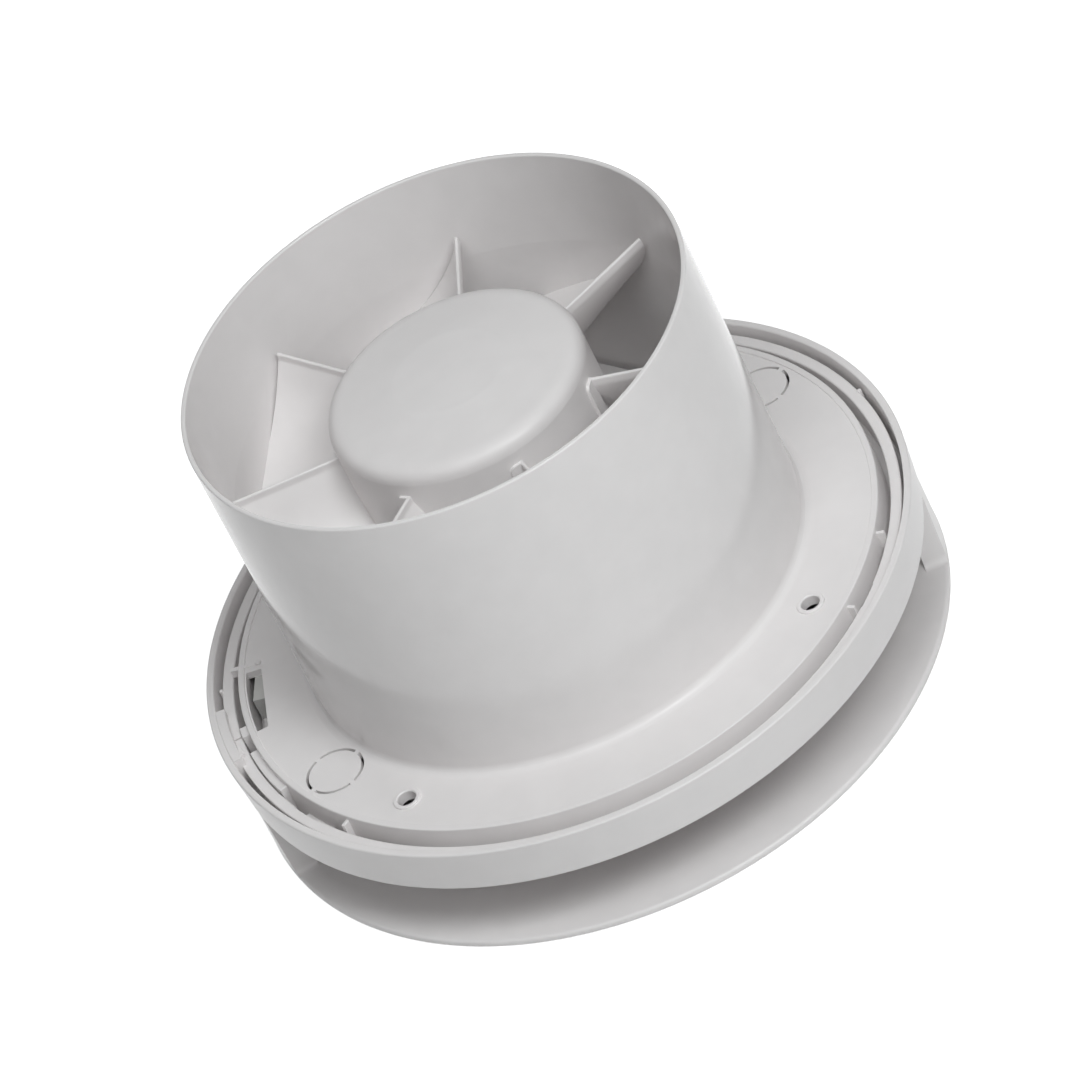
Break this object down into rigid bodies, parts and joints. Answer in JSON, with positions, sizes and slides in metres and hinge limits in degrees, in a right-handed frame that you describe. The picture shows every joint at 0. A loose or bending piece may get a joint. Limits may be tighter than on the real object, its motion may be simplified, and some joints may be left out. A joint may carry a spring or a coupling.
{
  "type": "bathroom exhaust fan",
  "caption": "Axial exhaust fan with a round duct spigot, guide vanes round a motor cup, a ceiling plate, a clipped cover ring and a flat round front panel held off it.",
  "frame": {"origin": "centre of the front panel's outer face, at the bottom of the part", "axes": "+Z along the fan axis, from the front panel to the mouth of the duct spigot; the two supports of the front panel stand on +X and -X"},
  "size_m": [0.1781, 0.1781, 0.112],
  "materials": {
    "housing_plastic": "white moulded plastic, glossy",
    "carrier_plastic": "white moulded plastic, satin",
    "cover_plastic": "white moulded plastic, satin",
    "impeller_plastic": "white moulded plastic, satin",
    "terminal_plastic": "off-white moulded plastic",
    "bobbin_plastic": "natural moulded plastic",
    "mount_rubber": "black rubber",
    "zinc_steel": "zinc-plated",
    "bearing_steel": "ground steel",
    "lamination_steel": "stamped electrical sheet",
    "cast_bracket": "die-cast",
    "copper_wire": "enamelled copper wire",
    "terminal_brass": "nickel-free brass",
    "live_insulation": "brown wire insulation",
    "neutral_insulation": "blue wire insulation"
  },
  "bodies": {
    "housing": {"duct_housing": "housing_plastic", "vane_carrier": "carrier_plastic", "rubber_mounts": "mount_rubber", "motor_screws": "zinc_steel", "upper_motor_bracket": "cast_bracket", "lower_motor_bracket": "cast_bracket", "stator_core": "lamination_steel", "coil_bobbins": "bobbin_plastic", "stator_coils": "copper_wire", "upper_bearing_outer_race": "bearing_steel", "lower_bearing_outer_race": "bearing_steel", "terminal_block": "terminal_plastic", "terminal_clamps": "terminal_brass", "terminal_screws": "zinc_steel", "terminal_cover": "cover_plastic", "terminal_cover_screw": "zinc_steel", "cable_clamp": "terminal_plastic", "cable_clamp_screws": "zinc_steel", "live_lead": "live_insulation", "neutral_lead": "neutral_insulation"},
    "rotor": {"motor_shaft": "bearing_steel", "rotor_core": "lamination_steel", "rotor_end_rings": "cast_bracket", "rotor_spacers": "bearing_steel", "upper_bearing_inner_race": "bearing_steel", "lower_bearing_inner_race": "bearing_steel", "upper_bearing_balls": "bearing_steel", "lower_bearing_balls": "bearing_steel", "impeller": "impeller_plastic", "impeller_retainer": "zinc_steel", "shaft_circlip": "zinc_steel"},
    "cover": {"cover_ring": "cover_plastic", "right_panel_support": "cover_plastic", "left_panel_support": "cover_plastic", "front_panel": "cover_plastic"}
  },
  "joints": [
    {"name": "impeller_spin", "type": "hinge", "parent": "housing", "child": "rotor", "pos_m": [0, 0, 0.0807], "axis": [0, 0, 1], "continuous": true},
    {"name": "cover_pull_off", "type": "slide", "parent": "housing", "child": "cover", "axis": [0, 0, -1], "range_m": [0, 0.06]}
  ]
}
